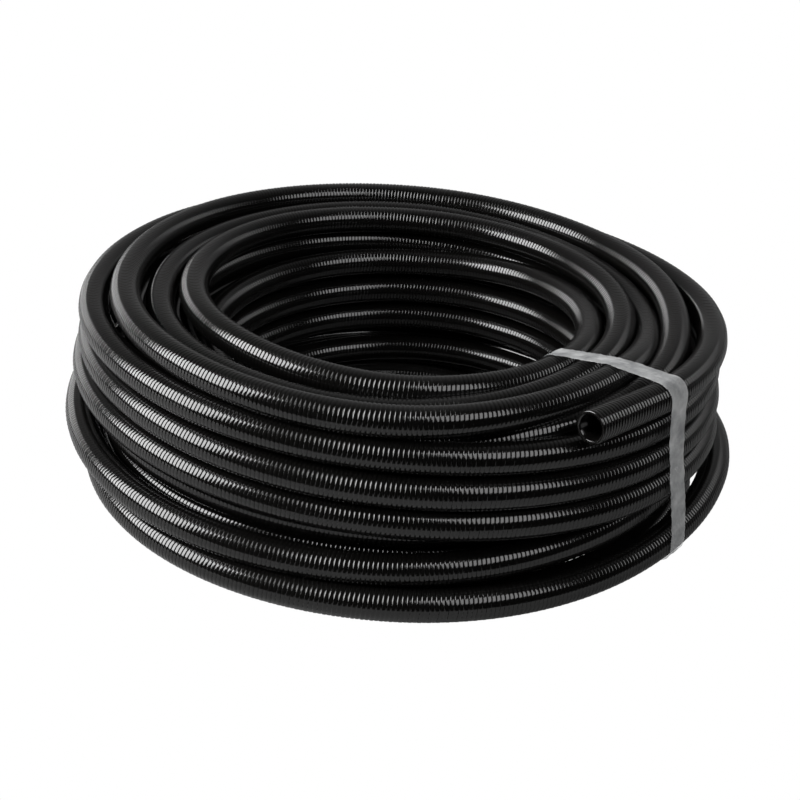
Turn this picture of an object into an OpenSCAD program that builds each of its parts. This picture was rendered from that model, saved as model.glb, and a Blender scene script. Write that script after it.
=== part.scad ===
// Coil of spirally ribbed black plastic conduit, nominal size 20, tied with one film strap.
// Millimetres. The coil lies flat: its axis is Z and the floor is Z = 0.
// Each turn of the coil shows as one round in the turned section. The last turn rides on
// top of the outer row, straightens there and ends in a cut, open mouth.

/* [Conduit] */
// Outside diameter over the rib crests
conduit_od = 21; // [19:0.1:23]
// Bore of the conduit
conduit_id = 16.4; // [12:0.1:16.8]
// Distance from one rib crest to the next along the conduit
rib_pitch = 2.8; // [2.2:0.1:4]
// Depth of the grooves between the crests
rib_depth = 0.6; // [0.3:0.1:0.9]

/* [Coil] */
// Radius to the middle of the largest turn
coil_radius = 229; // [215:1:250]
// From the middle of the largest turn to the middle of the inner wall's turns
coil_build = 88; // [84:1:100]
// Gap between the riding last turn and the turn below it
riding_gap = 0.3; // [0.2:0.1:0.5]

/* [Free end] */
// Straight length at the cut end
tail_straight = 75; // [60:1:100]
// Ribbed length at the cut end, clear of the turn below it
tail_ribbed = 45; // [20:1:48]
// Angle about the coil's axis where the straight starts
tail_angle = -41; // [-60:1:-38]
// Angle that the last turn rides on top of the outer row before it dives into the coil
tail_wrap = 130; // [90:1:200]

/* [Strap] */
// Width of the film strap
strap_width = 11; // [8:1:16]
// Thickness of the strap, a film pulled into a band
strap_thick = 0.4; // [0.2:0.1:0.8]
// Gap between the strap and the turns that it ties
strap_gap = 0.2; // [0.15:0.05:0.3]
// Angle about the coil's axis where the strap goes round
strap_angle = -33; // [-35:1:-24]

/* [Hidden] */
$fn = 96;

conduit_r = conduit_od / 2;
bore_r = conduit_id / 2;
// The lowest turns lie on the strap, which lies on the floor
floor_z = strap_thick + strap_gap + conduit_r;

// Middle of a turn that lies so many conduit diameters inside the largest turn and so many
// above the lowest one
function outer(inset, rise) =
    [coil_radius - inset * conduit_od, floor_z + rise * conduit_od];
// The same, counted outwards from the turns of the inner wall
function inner(outset, rise) =
    [coil_radius - coil_build + outset * conduit_od, floor_z + rise * conduit_od];

// Outer wall from the floor up: two turns stand out like a belt, one has sunk in above them
outer_wall = [
    outer(1.10, 0), outer(0, 0.76), outer(0, 1.76), outer(0.74, 2.43),
    outer(0.33, 3.35), outer(0.38, 4.35), outer(0.71, 5.29)
];
// Top from the outside in: the middle turn lies lower than its neighbours
top_layer = [outer(1.57, 6.05), outer(2.52, 5.60), inner(0.48, 5.88)];
// Inner wall from the top down: its lowest turn has slipped inwards
inner_wall = [
    inner(0.09, 4.55), inner(0.02, 3.36), inner(0, 2.17), inner(-0.05, 0.98), inner(-0.95, 0)
];
// Lowest layer from the inside out
floor_layer = [inner(0.10, 0), outer(3.07, 0), outer(2.07, 0)];
turns = concat(outer_wall, top_layer, inner_wall, floor_layer);

top_outer = outer_wall[6];
tail_x = coil_radius - 0.57 * conduit_od;
tail_z = top_outer[1] + sqrt(pow(conduit_od + riding_gap, 2) - pow(tail_x - top_outer[0], 2));
// Bend by which the riding turn dives between the outer row and the top layer
dive_bend = 3 * conduit_od;
dive_slant = 45;
dive_turn = 70;
// Lengths that follow each other are joined by a spigot, so much thinner and so long
spigot_step = 0.05;
spigot = 1;

// The strap goes round these turns, which stand out most from the section
strapped = [
    inner_wall[4], outer_wall[0], outer_wall[1], outer_wall[2], [tail_x, tail_z],
    top_layer[2], inner_wall[0]
];

// Outline of a band drawn round equal rounds on these middles, which run anticlockwise:
// straight between the rounds, and round each one in steps of at most this angle
function band_outline(middles, radius, step = 6) = [
    for (i = [0 : len(middles) - 1])
        let (
            before = middles[(i + len(middles) - 1) % len(middles)],
            at = middles[i],
            after = middles[(i + 1) % len(middles)],
            start = atan2(at[1] - before[1], at[0] - before[0]) - 90,
            end = atan2(after[1] - at[1], after[0] - at[0]) - 90,
            turn = (end - start + 360) % 360,
            steps = ceil(turn / step)
        )
        for (k = [0 : steps])
            let (angle = start + turn * k / steps)
            at + radius * [cos(angle), sin(angle)]
];

// Section of the coil: every outer turn is a round, and the turns inside it are one core
module coil_section() {
    polygon(turns);
    for (turn = turns) {
        translate(turn) circle(conduit_r);
    }
}

// Straight cut end: plain where it crosses the turn below, then ribbed to the mouth, with
// flat-topped crests and narrow grooves between them. Its bore stops at the riding turn.
module tail() {
    ribs = floor(tail_ribbed / rib_pitch);
    plain_r = conduit_r - spigot_step;
    groove_r = conduit_r - rib_depth;
    plain = [[0, -spigot], [plain_r, -spigot], [plain_r, tail_straight - ribs * rib_pitch]];
    ribbed = [
        for (i = [ribs : -1 : 1])
            let (start = tail_straight - i * rib_pitch)
            each [
                [groove_r, start + 0.15 * rib_pitch], [groove_r, start + 0.3 * rib_pitch],
                [conduit_r, start + 0.45 * rib_pitch], [conduit_r, start + rib_pitch]
            ]
    ];
    bore = [[bore_r, tail_straight], [bore_r, 0], [0, 0]];
    rotate([0, 0, tail_angle]) translate([tail_x, 0, tail_z]) rotate([90, 0, 0])
        rotate_extrude() polygon(concat(plain, ribbed, bore));
}

// The last turn, riding on the outer row up to where it dives into the coil
module riding_turn() {
    rotate([0, 0, tail_angle]) rotate_extrude(angle = tail_wrap)
        translate([tail_x, tail_z]) circle(conduit_r);
    rotate([0, 0, tail_angle + tail_wrap]) translate([tail_x, -spigot, tail_z])
        translate(-dive_bend * [sin(dive_slant), 0, cos(dive_slant)])
            rotate([0, dive_slant - 90, 0]) rotate_extrude(angle = dive_turn)
                translate([dive_bend, 0]) circle(conduit_r - spigot_step);
}

module conduit() {
    color("#17171a") {
        rotate_extrude() coil_section();
        riding_turn();
        tail();
    }
}

module strap() {
    color("#e4e6e8")
        rotate([0, 0, strap_angle]) rotate([90, 0, 0])
            translate([0, 0, -strap_width / 2]) linear_extrude(strap_width)
                difference() {
                    polygon(band_outline(strapped, conduit_r + strap_gap + strap_thick));
                    polygon(band_outline(strapped, conduit_r + strap_gap));
                }
}

conduit();
strap();
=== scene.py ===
"""Looks of the tied coil of spiral-ribbed conduit: one continuous ribbed run wound turn by turn,
its cut open end, and the creased film strap round the coil. The part's lengths are millimetres,
which make() turns into metres. The studio's lengths are metres."""
import math

import bpy
import numpy as np
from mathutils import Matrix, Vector


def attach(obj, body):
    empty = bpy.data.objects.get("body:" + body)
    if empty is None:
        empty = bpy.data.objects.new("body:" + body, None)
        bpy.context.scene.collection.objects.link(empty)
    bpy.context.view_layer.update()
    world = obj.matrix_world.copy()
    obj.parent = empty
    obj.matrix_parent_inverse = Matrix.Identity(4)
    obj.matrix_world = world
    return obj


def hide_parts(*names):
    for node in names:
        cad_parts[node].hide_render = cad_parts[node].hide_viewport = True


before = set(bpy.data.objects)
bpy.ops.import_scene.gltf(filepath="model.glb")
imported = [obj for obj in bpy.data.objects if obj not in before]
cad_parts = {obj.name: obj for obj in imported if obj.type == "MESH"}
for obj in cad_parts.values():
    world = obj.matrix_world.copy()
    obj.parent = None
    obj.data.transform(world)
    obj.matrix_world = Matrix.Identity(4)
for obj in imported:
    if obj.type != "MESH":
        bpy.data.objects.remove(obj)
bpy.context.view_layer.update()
scene = bpy.context.scene

# ---------------------------------------------------------------- the conduit's own sizes
RADIUS = 10.5          # over the rib crests
BORE = 8.2             # radius of the bore
BORE_DEPTH = 74.0      # how far the open end is hollow
PITCH = 2.8            # crest to crest
STARTS = 2             # ribs that run side by side round the conduit
GROOVE = 0.6           # depth of the grooves
LOW_CREST = 0.08       # every other rib is so much lower,
LOW_GROOVE = 0.12      # and the groove before it so much less deep
SEGMENTS = 16
RING_PLACES = (0, 0.18, 0.82)      # a rib's rings, as shares of the pitch: groove, crest, crest
RINGS = len(RING_PLACES)
RING_STEP = PITCH / RINGS
# how far the surface between two rings leans along the conduit, at its start and at its end:
# a crest is nearly flat, and the groove's sides fall off at once
LEANS = ((-0.35, -0.75), (-0.06, 0.06), (0.75, 0.35))

# ---------------------------------------------------------------- how the conduit is wound
TOP = 138.5                        # height of the middle of the turns that lie on top
FLOOR_GAP = 0.6                    # the lowest turns clear the floor by this
# (radius, height) of the middle of the conduit at equal steps round the coil, from the turn
# with the free end inwards and down to the hidden other end. Each row is one turn.
# From the front: front, front right, right, back right, back, back left, left, front left
OUTER_WALL = [
    (217, 136), (217, 136), (213, 133), (202, 131), (206, 130), (228, 127), (222, 124), (210, 121),
    (210, 118.5), (213, 113.5), (213, 111), (217, 109), (226, 107.5), (233, 105), (223, 103.5), (213, 100.5),
    (215.5, 98), (217, 93), (216, 90), (226, 89), (237, 88), (240, 85), (228, 83), (216, 80),
    (216, 77.5), (219, 72.5), (217, 69.5), (215, 69), (214, 69), (216, 68.5), (215, 67.5), (209, 65.5),
    (203, 63), (195, 62), (187, 62), (200, 62), (224, 61), (234, 57), (232, 54), (228, 48),
    (219, 45), (209, 50), (206, 54), (215, 52), (224, 45), (222, 38), (217, 33), (227, 28.5),
    (230, 27.5), (223, 26), (233, 37), (230, 32), (220, 21), (212, 13), (206, 11.2), (208, 11.2),
    (201, 11.2), (203, 13), (207, 16), (202, 27), (202, 38), (204, 46), (206, 47), (206, 44),
    (197, 43),
]
# From the front: front, right, back, left
FLOOR_LAYER = [
    (197, 43), (182, 36), (181, 32), (181, 32),
    (181, 30), (181, 11), (181, 11), (181, 11),
    (180, 11), (158, 11), (153, 11), (155, 11), (160, 12),
]
HIDDEN = [
    (160, 12), (166, 31), (160, 32), (160, 32),
    (160, 34), (160, 52), (163, 53), (163, 53),
    (163, 54), (181, 46), (190, 54), (186, 53),
    (182, 53), (182, 76), (190, 76), (188, 74),
    (182, 74), (162, 74), (165, 74), (165, 74),
    (162, 76), (164, 96), (166, 95), (165, 95),
    (163, 95), (160, 104), (162, 113), (162, 113),
    (163, 104), (184, 98), (206, 106), (192, 95),
    (184, 95), (178, 114), (186, 114), (190, 118), (188, 113),
]
# From the front in eight steps again; it ends at the back
TOP_LAYER = [
    (188, 113), (198, 127), (187, TOP), (187, TOP), (199, TOP), (204, TOP), (198, TOP), (199, TOP),
    (205, TOP), (181, 135), (170, 126), (168, 128), (177, 131), (180, 130), (175, 128), (174, 126),
    (168, 124), (158, 128), (151, 133), (150, 133.5), (156, 133.5), (160, 133.5), (152, 133.5), (147, 133.5),
    (151, 132), (137, 126), (131, 121), (136, 113), (141, 104),
]
# From the back: back, left, front, right
INNER_WALL = [
    (141, 104), (141, 99), (141, 93), (141, 86),
    (141, 80), (141, 74), (141, 68), (141, 62),
    (141, 57), (141, 50), (141, 44), (141, 37),
    (141, 28), (139, 20), (130, 12), (121, 11),
    (121, 11), (121, 11), (121, 11), (141, 11),
]
FRONT, BACK = -90, 90              # angles about the coil's axis
MOUTH = (112.0, -196.5, TOP)       # middle of the free end's cut
LIFT_OFF = -41                     # angle where the straight free end meets the coil's round
EASE = 24                          # how far the corners of the run are eased over
FREE_END = 86.0                    # length of the run that is made as the free end
UPPER_TURNS = 4                    # turns of the outer wall in its upper piece
UNDER_TOP = (6, 7)                 # turns of HIDDEN between which it is ribbed, as it shows there
PLAIN_RADIUS = RADIUS - 0.1        # the hidden turns have no ribs,
PLAIN_STEP = 24                    # and only every so many rings are made
END_GAP = 10                       # rings without ribs at the hidden end


def spiral(runs):
    """Points one degree apart through the (radius, height) knots of runs that follow each other.

    A run is its knots, the angle where it starts and how many of them make a turn."""
    made = []
    for knots, start, per_turn in runs:
        k = np.array(knots, float)
        step = 360 // per_turn
        u = np.arange(0, (len(k) - 1) * step) / step
        i = np.floor(u).astype(int)
        f = (u - i)[:, None]
        a, b, c, d = (k[np.clip(i + n, 0, len(k) - 1)] for n in (-1, 0, 1, 2))
        square = (2 * a - 5 * b + 4 * c - d) * f ** 2
        cube = (3 * b - a - 3 * c + d) * f ** 3
        q = 0.5 * (2 * b + (c - a) * f + square + cube)
        q[:, 1] = np.maximum(q[:, 1], RADIUS + FLOOR_GAP)
        turn = np.radians(u * step + start)
        made.append(np.stack([q[:, 0] * np.cos(turn), q[:, 0] * np.sin(turn), q[:, 1]], 1))
    return np.concatenate(made)


def along(points, step):
    """The same line as points a fixed length apart."""
    s = np.concatenate([[0], np.cumsum(np.linalg.norm(np.diff(points, axis=0), axis=1))])
    t = np.arange(0, s[-1], step)
    return np.stack([np.interp(t, s, points[:, n]) for n in range(3)], 1)


def eased(points, reach):
    """The line with its corners eased over so many points; its ends stay where they are."""
    w = np.hanning(2 * reach + 1)[1:-1]
    w /= w.sum()
    n = len(w) // 2
    ends = [2 * points[0] - points[n:0:-1], points, 2 * points[-1] - points[-2:-n - 2:-1]]
    p = np.concatenate(ends)
    return np.stack([np.convolve(p[:, k], w, "valid") for k in range(3)], 1)


def conduit_line():
    """Middle of the whole run from the mouth to the hidden end, as points one ring apart.

    The straight's last points are left out, which softens the corner where it meets the round."""
    wound = spiral([
        (OUTER_WALL, FRONT, 8), (FLOOR_LAYER, FRONT, 4), (HIDDEN, FRONT, 4),
        (TOP_LAYER, FRONT, 8), (INNER_WALL, BACK, 4),
    ])[LIFT_OFF - FRONT:]
    straight = along(np.array([MOUTH, wound[0]]), 2.0)[:-2]
    return along(eased(along(np.concatenate([straight, wound]), 1.0), EASE), RING_STEP)


def frames(points):
    """Direction, sideways and upward unit vectors along the line."""
    t = np.gradient(points, axis=0)
    t /= np.linalg.norm(t, axis=1)[:, None]
    up = np.array([0.0, 0.0, 1.0]) - t * t[:, 2:3]
    up /= np.linalg.norm(up, axis=1)[:, None]
    return t, np.cross(t, up), up


line = conduit_line()
total = len(line)
tangent, side, up = frames(line)


def ring_at(degrees):
    """Index of the ring where the winding has gone about so many degrees past its start at the front.

    It counts from the mouth, which lies some degrees before the lift-off."""
    a = np.unwrap(np.arctan2(line[:, 1], line[:, 0]))
    return int(np.searchsorted(a - a[0], math.radians(degrees + FRONT - LIFT_OFF)))


# ---------------------------------------------------------------- meshes of the conduit


def make(name, verts, faces, node, normals=None):
    """One smooth piece that rides the only body and shows a node of the part."""
    mesh = bpy.data.meshes.new(name)
    mesh.from_pydata((np.asarray(verts) / 1000.0).tolist(), [], faces)
    mesh.polygons.foreach_set("use_smooth", [True] * len(mesh.polygons))
    mesh.update()
    if normals is not None:
        mesh.normals_split_custom_set(normals.tolist())
    obj = bpy.data.objects.new(name, mesh)
    scene.collection.objects.link(obj)
    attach(obj, "root")
    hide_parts(node)
    return obj


def round_steps(segments):
    return np.arange(segments) * 2 * math.pi / segments


def tube_faces(a, b, segments):
    """Faces between ring a and ring b, facing out when b lies further along the conduit."""
    steps = [(n, (n + 1) % segments) for n in range(segments)]
    return [(a * segments + n, b * segments + n, b * segments + m, a * segments + m) for n, m in steps]


def ribbed(name, first, last):
    """Conduit from ring first to ring last, with its ribs as geometry that winds round it."""
    lead = STARTS * RINGS / SEGMENTS
    rows = np.arange(first, last + STARTS * RINGS + 2)
    i = np.repeat(rows, SEGMENTS)
    j = np.tile(np.arange(SEGMENTS), len(rows))
    shift = np.array(RING_PLACES) * RINGS - np.arange(RINGS)
    s = np.clip(i + shift[i % RINGS] + lead * j, 0, total - 1.001)
    k = s.astype(int)
    f = (s - k)[:, None]
    angle = j * 2 * math.pi / SEGMENTS
    low = i // RINGS % 2
    depth = np.select([i % RINGS == 0], [GROOVE - LOW_GROOVE * low], LOW_CREST * low)
    centre = line[k] * (1 - f) + line[np.minimum(k + 1, total - 1)] * f
    out = side[k] * np.cos(angle)[:, None] + up[k] * np.sin(angle)[:, None]
    verts = centre + (RADIUS - depth)[:, None] * out
    # one face between each two rings and segments; the last segment meets the next start's ribs
    row, n = np.divmod(np.arange((last - first) * SEGMENTS), SEGMENTS)
    here = row * SEGMENTS + n
    over = np.where(n == SEGMENTS - 1, (row + STARTS * RINGS) * SEGMENTS, here + 1)
    faces = np.stack([here, here + SEGMENTS, over + SEGMENTS, over], 1)
    lean = np.array(LEANS)[(row + first) % RINGS]
    normals = []
    for corner, end in ((here, 0), (here + SEGMENTS, 1), (over + SEGMENTS, 1), (over, 0)):
        normal = out[corner] + lean[:, end][:, None] * tangent[k[corner]]
        normals.append(normal / np.linalg.norm(normal, axis=1)[:, None])
    normals = np.stack(normals, 1).reshape(-1, 3)
    return make(name, verts, faces.tolist(), "conduit", normals)


def plain(name, first, last, step, segments=12):
    """Conduit without ribs and with closed ends, for where it is hidden."""
    rows = np.arange(first, last + 1, step)
    angle = round_steps(segments)
    ring = np.cos(angle)[:, None, None] * side[rows] + np.sin(angle)[:, None, None] * up[rows]
    verts = (line[rows] + PLAIN_RADIUS * ring).transpose(1, 0, 2).reshape(-1, 3)
    faces = [face for r in range(len(rows) - 1) for face in tube_faces(r, r + 1, segments)]
    faces.append(tuple(range(segments)))
    faces.append(tuple((len(rows) - 1) * segments + n for n in range(segments))[::-1])
    return make(name, verts, faces, "conduit")


def rib_height(phase):
    """Height over the groove, as a share of its depth: wide crests, of which every other is lower."""
    edge, end, low = 0.14, 0.86, 0.1
    p = phase % 1.0
    crest = np.clip(np.minimum(p / edge, (end - p) / edge), 0, 1)
    return np.sin(crest * math.pi / 2) * (1 - low * (np.floor(phase) % 2))


def free_end(name, last, segments=48, rings=8):
    """The cut end, up to ring last: ribbed, with a flat cut face and the smooth bore."""
    s = np.arange(0, last + 0.001, RINGS / rings)
    angle = round_steps(segments)
    k = np.minimum(s.astype(int), total - 2)
    f = (s - k)[:, None]
    centre = line[k] * (1 - f) + line[k + 1] * f
    phase = s[:, None] / RINGS - STARTS * angle[None, :] / (2 * math.pi)
    radius = RADIUS - GROOVE * (1 - rib_height(phase))
    cosine, sine = np.cos(angle)[None, :, None], np.sin(angle)[None, :, None]
    out = side[k][:, None, :] * cosine + up[k][:, None, :] * sine
    shell = (centre[:, None, :] + radius[:, :, None] * out).reshape(-1, 3)
    # how far in and at what radius: the cut face, its broken edge, the bore and the bore's end
    profile = (
        (0.0, RADIUS - 0.9), (0.12, BORE + 0.25), (0.3, BORE), (30.0, BORE), (60.0, BORE),
        (BORE_DEPTH, BORE), (BORE_DEPTH, 0.01),
    )
    inside = [
        (line[round(inset / RING_STEP)] if inset > 1 else line[0] + tangent[0] * inset) + wide * out[0]
        for inset, wide in profile
    ]
    order = [0] + [len(s) + r for r in range(len(inside))]
    faces = [face for r in range(len(s) - 1) for face in tube_faces(r, r + 1, segments)]
    # the inside faces the other way round
    for a, b in zip(order, order[1:]):
        faces += [(p, t, r, q) for p, q, r, t in tube_faces(a, b, segments)]
    return make(name, np.concatenate([shell] + inside), faces, "conduit")


def conduit_pieces():
    """The whole run in pieces that meet end to end."""
    outer = 360 * (len(OUTER_WALL) - 1) // 8
    floor = outer + 90 * (len(FLOOR_LAYER) - 1)
    hidden = floor + 90 * (len(HIDDEN) - 1)
    top = hidden + 360 * (len(TOP_LAYER) - 1) // 8
    join = int(FREE_END / RING_STEP)
    under, over = (floor + 360 * turns for turns in UNDER_TOP)
    cuts = map(ring_at, (360 * UPPER_TURNS, outer, floor, under, over, hidden, top))
    cut_wall, cut_floor, cut_hidden, cut_under, cut_over, cut_shown, cut_top = cuts
    return [
        free_end("conduit_free_end", join),
        ribbed("conduit_outer_upper", join - 2, cut_wall),
        ribbed("conduit_outer_lower", cut_wall, cut_floor),
        ribbed("conduit_floor_layer", cut_floor, cut_hidden),
        plain("conduit_hidden_lower", cut_hidden, cut_under, PLAIN_STEP),
        ribbed("conduit_under_top", cut_under, cut_over),
        plain("conduit_hidden_upper", cut_over, cut_shown, PLAIN_STEP),
        ribbed("conduit_top", cut_shown, cut_top),
        ribbed("conduit_inner_wall", cut_top, total - END_GAP),
        plain("conduit_inner_end", total - END_GAP - 4, total - 2, 4),
    ]


# ---------------------------------------------------------------- the film strap
STRAP_WIDTH = 17.0
STRAP_CLEAR = 0.25                          # the outline that it follows clears the crests by this
STRAP_LIFT = 0.55                           # and the film's middle lies so far outside it
STRAP_MIDDLE = np.array([180.0, 70.0])      # radius and height that it goes round
STRAP_TOP, STRAP_FOOT = -40.8, -37.0        # angles about the coil's axis, over the top and at the floor
STRAP_ANGLES = np.arange(-50, -28, 1.0)     # angles where the coil's outline is taken for it
STRAP_COLUMNS = 17
STRAP_FLOOR = 0.15                          # its lowest height


def section_at(angle):
    """(radius, height) of the conduit where it crosses the half plane at an angle."""
    a = math.radians(angle)
    across = line[:, 1] * math.cos(a) - line[:, 0] * math.sin(a)
    ahead = line[:, 0] * math.cos(a) + line[:, 1] * math.sin(a)
    hit = np.nonzero((across[:-1] < 0) & (across[1:] >= 0) & (ahead[:-1] > 0))[0]
    return np.stack([ahead[hit], line[hit, 2]], 1)


def turned(a, b, c):
    """Above zero where the way from a over b to c turns left."""
    return (b[0] - a[0]) * (c[1] - a[1]) - (b[1] - a[1]) * (c[0] - a[0])


def hull(points):
    """The points' convex outline, anticlockwise."""
    points = points[np.lexsort((points[:, 1], points[:, 0]))]
    loop = []
    for run in (points, points[::-1]):
        part = []
        for p in run:
            while len(part) > 1 and turned(part[-2], part[-1], p) <= 0:
                part.pop()
            part.append(p)
        loop += part[:-1]
    return np.array(loop)


def taut_reach(angle, directions):
    """How far from the strap's middle the taut film runs in each direction."""
    steps = np.radians(np.arange(0, 360, 6))
    rounds = (RADIUS + STRAP_CLEAR) * np.stack([np.cos(steps), np.sin(steps)], 1)
    a = hull((section_at(angle)[:, None, :] + rounds).reshape(-1, 2)) - STRAP_MIDDLE
    e = np.roll(a, -1, axis=0) - a
    reach = np.zeros(len(directions))
    for n, d in enumerate(directions):
        u = (math.cos(d), math.sin(d))
        den = u[0] * e[:, 1] - u[1] * e[:, 0]
        t = (a[:, 0] * e[:, 1] - a[:, 1] * e[:, 0]) / den
        w = (a[:, 0] * u[1] - a[:, 1] * u[0]) / den
        reach[n] = t[(t > 0) & (w >= -1e-6) & (w <= 1 + 1e-6)].max()
    return reach


def wave(x, seed):
    """A smooth irregular wave of a few lengths, about -1 to 1."""
    rng = np.random.default_rng(seed)
    height = np.zeros_like(x)
    for scale in (1.0, 2.3, 4.1, 7.9):
        height += np.sin(x * scale * rng.uniform(0.8, 1.2) + rng.uniform(0, 6.3)) / scale ** 0.5
    return height / 2.4


def strap_drift(directions):
    """How far the strap has gone from its angle on top (0) to its angle at the floor (1)."""
    outside = 1 - np.clip((np.sin(directions) + 0.55) / 1.25, 0, 1)
    inside = np.clip((np.cos(directions) + 0.75) / 0.75, 0, 1) * (np.sin(directions) < 0)
    drift = np.where(np.cos(directions) > 0, outside, inside)
    ease = np.hanning(61)
    return np.convolve(np.concatenate([drift[-30:], drift, drift[:30]]), ease / ease.sum(), "valid")


def strap(name):
    """A creased band of film, drawn taut round the wound turns."""
    directions = np.radians(np.arange(0, 360, 0.4))
    rows = len(directions)
    n = np.arange(rows)
    reach = np.array([taut_reach(a, directions) for a in STRAP_ANGLES])
    middle = STRAP_TOP + (STRAP_FOOT - STRAP_TOP) * strap_drift(directions)
    length = directions * 160      # what the waves along the strap go by
    verts = []
    for c in range(STRAP_COLUMNS):
        q = c / (STRAP_COLUMNS - 1) * 2 - 1
        # its edges waver; the last number of each wave is its seed
        width = STRAP_WIDTH / 2 * (1 + 0.06 * wave(length / 26, 3))
        offset = q * width + 0.5 * wave(length / 9 + 2 * q, 11)
        at = middle + np.degrees(offset / (STRAP_MIDDLE[0] + np.cos(directions) * 60))
        col = np.clip(at - STRAP_ANGLES[0], 0, len(STRAP_ANGLES) - 1.001)
        i = col.astype(int)
        r = reach[i, n] * (1 - (col - i)) + reach[i + 1, n] * (col - i)
        # creases that run along it, with finer ones across
        crease = 0.34 * wave(q * 5.5 + 0.9 * wave(length / 30, 5), 7) + 0.22 * wave(length / 6 + 5 * q, 9)
        r = r + STRAP_LIFT + np.clip(crease, -0.35, 0.6)
        out = STRAP_MIDDLE[0] + r * np.cos(directions)
        z = np.maximum(STRAP_MIDDLE[1] + r * np.sin(directions), STRAP_FLOOR)
        verts.append(np.stack([out * np.cos(np.radians(at)), out * np.sin(np.radians(at)), z], 1))
    faces = [
        tuple(row * STRAP_COLUMNS + c + over for row, over in ((r, 0), (s, 0), (s, 1), (r, 1)))
        for r, s in zip(n.tolist(), np.roll(n, -1).tolist()) for c in range(STRAP_COLUMNS - 1)
    ]
    return make(name, np.stack(verts, 1).reshape(-1, 3), faces, "strap")


# ---------------------------------------------------------------- materials


def material(name):
    m = bpy.data.materials.new(name)
    m.use_nodes = True
    return m, m.node_tree.nodes, m.node_tree.links


def put(nodes, kind, **values):
    """A new node with its properties and sockets set; an underscore stands for a socket's space."""
    n = nodes.new(kind)
    for key, v in values.items():
        if hasattr(n, key):
            setattr(n, key, v)
        else:
            n.inputs[key.replace("_", " ")].default_value = v
    return n


def conduit_pvc():
    """Glossy black plastic, a little uneven in gloss and grain."""
    pvc, nodes, links = material("conduit_pvc")
    shader = nodes["Principled BSDF"]
    shader.inputs["Base Color"].default_value = (0.0036, 0.0034, 0.0032, 1)
    where = put(nodes, "ShaderNodeTexCoord")
    grain = put(nodes, "ShaderNodeTexNoise", Scale=900.0, Detail=3.0)
    soft = put(nodes, "ShaderNodeTexNoise", Scale=38.0, Detail=4.0)
    rough = put(nodes, "ShaderNodeMapRange", To_Min=0.09, To_Max=0.16)
    bump = put(nodes, "ShaderNodeBump", Strength=0.12, Distance=0.0002)
    links.new(where.outputs["Object"], grain.inputs["Vector"])
    links.new(where.outputs["Object"], soft.inputs["Vector"])
    links.new(soft.outputs["Fac"], rough.inputs["Value"])
    links.new(rough.outputs["Result"], shader.inputs["Roughness"])
    links.new(grain.outputs["Fac"], bump.inputs["Height"])
    links.new(bump.outputs["Normal"], shader.inputs["Normal"])
    return pvc


def strap_film():
    """Thin film, milky in patches, and crumpled."""
    film, nodes, links = material("strap_film")
    shader = nodes["Principled BSDF"]
    shader.inputs["Roughness"].default_value = 0.28
    shader.inputs["Alpha"].default_value = 0.55
    where = put(nodes, "ShaderNodeTexCoord")
    cloud = put(nodes, "ShaderNodeTexNoise", Scale=70.0, Detail=6.0, Roughness=0.65)
    ramp = put(nodes, "ShaderNodeMapRange", From_Min=0.35, From_Max=0.68)
    milk = put(nodes, "ShaderNodeMix")
    milk.data_type = "RGBA"
    # the node's two colours
    milk.inputs[6].default_value = (0.42, 0.43, 0.44, 1)
    milk.inputs[7].default_value = (0.93, 0.94, 0.94, 1)
    crumple = put(nodes, "ShaderNodeTexNoise", Scale=420.0, Detail=3.0)
    bump = put(nodes, "ShaderNodeBump", Strength=0.5, Distance=0.0004)
    links.new(where.outputs["Object"], cloud.inputs["Vector"])
    links.new(where.outputs["Object"], crumple.inputs["Vector"])
    links.new(cloud.outputs["Fac"], ramp.inputs["Value"])
    links.new(ramp.outputs["Result"], milk.inputs["Factor"])
    links.new(milk.outputs[2], shader.inputs["Base Color"])
    links.new(crumple.outputs["Fac"], bump.inputs["Height"])
    links.new(bump.outputs["Normal"], shader.inputs["Normal"])
    return film


conduit = conduit_pieces()
film_strap = strap("strap_film")
pvc = conduit_pvc()
for obj in conduit:
    obj.data.materials.append(pvc)
film_strap.data.materials.append(strap_film())

# ---------------------------------------------------------------- floor, light, camera


def white_to_camera(nodes, links, other, white, kind, output):
    """The camera sees the white node's shader, and all other rays meet the other one."""
    ray = put(nodes, "ShaderNodeLightPath")
    mix = put(nodes, "ShaderNodeMixShader")
    links.new(ray.outputs["Is Camera Ray"], mix.inputs["Fac"])
    links.new(other, mix.inputs[1])
    links.new(white.outputs[kind], mix.inputs[2])
    links.new(mix.outputs["Shader"], output.inputs["Surface"])


def studio_floor():
    mesh = bpy.data.meshes.new("floor")
    mesh.from_pydata([(-2, -0.5, 0), (2, -0.5, 0), (2, 2.5, 0), (-2, 2.5, 0)], [], [(0, 1, 2, 3)])
    floor = bpy.data.objects.new("floor", mesh)
    scene.collection.objects.link(floor)
    white, nodes, links = material("studio_white")
    shader = nodes["Principled BSDF"]
    shader.inputs["Base Color"].default_value = (0.5, 0.5, 0.5, 1)
    shader.inputs["Roughness"].default_value = 0.8
    shader.inputs["Specular IOR Level"].default_value = 0.0
    glow = put(nodes, "ShaderNodeEmission", Color=(1, 1, 1, 1), Strength=1.0)
    white_to_camera(nodes, links, shader.outputs["BSDF"], glow, "Emission", nodes["Material Output"])
    floor.data.materials.append(white)


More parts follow.
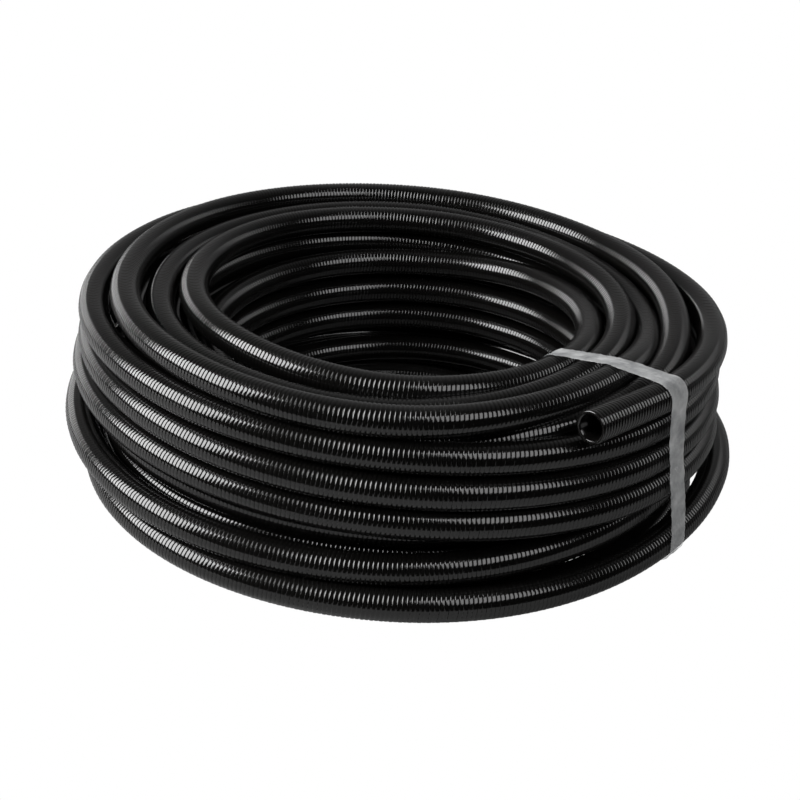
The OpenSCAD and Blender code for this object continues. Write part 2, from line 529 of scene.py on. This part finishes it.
def studio_world():
    """The studio is dark behind the camera and pale behind the coil."""
    world = bpy.data.worlds.new("studio")
    scene.world = world
    world.use_nodes = True
    nodes, links = world.node_tree.nodes, world.node_tree.links
    dim = nodes["Background"]
    dim.inputs["Color"].default_value = (1, 1, 1, 1)
    heading = put(nodes, "ShaderNodeTexCoord")
    split = put(nodes, "ShaderNodeSeparateXYZ")
    back = put(nodes, "ShaderNodeMapRange", From_Min=-0.1, From_Max=0.9, To_Min=0.008, To_Max=0.33)
    links.new(heading.outputs["Generated"], split.inputs["Vector"])
    links.new(split.outputs["Y"], back.inputs["Value"])
    links.new(back.outputs["Result"], dim.inputs["Strength"])
    seen = put(nodes, "ShaderNodeBackground", Color=(1, 1, 1, 1), Strength=1.0)
    white_to_camera(nodes, links, dim.outputs["Background"], seen, "Background", nodes["World Output"])


def look(obj, target):
    """Turns a lamp or camera towards a place."""
    obj.rotation_euler = (target - obj.location).to_track_quat("-Z", "Y").to_euler()


def softbox(name, at, width, height, power):
    """An area lamp that faces the middle of the coil."""
    lamp = bpy.data.lights.new(name, "AREA")
    lamp.shape = "RECTANGLE"
    lamp.size, lamp.size_y = width, height
    lamp.energy = power
    obj = bpy.data.objects.new(name, lamp)
    scene.collection.objects.link(obj)
    obj.location = at
    look(obj, Vector((0, 0, 0.07)))


def studio_camera(target, distance, height_angle, roll, lens):
    """A camera before the coil, so many degrees up and tilted so many degrees."""
    data = bpy.data.cameras.new("camera")
    camera = bpy.data.objects.new("camera", data)
    scene.collection.objects.link(camera)
    data.lens = lens
    data.sensor_width = 36
    data.clip_end = 20
    angle = math.radians(height_angle)
    camera.location = target + distance * Vector((0, -math.cos(angle), math.sin(angle)))
    look(camera, target)
    camera.rotation_euler.rotate_axis("Z", math.radians(roll))
    return camera


studio_floor()
studio_world()
softbox("softbox_left", (-1.5, -0.25, 0.85), 1.15, 1.15, 56)
softbox("softbox_right", (0.95, -0.95, 1.4), 1.1, 1.0, 14)
scene.camera = studio_camera(Vector((-0.0006, 0, 0.0493)), 1.042, 26.81, 3.75, 63.4)
scene.view_settings.view_transform = "Standard"
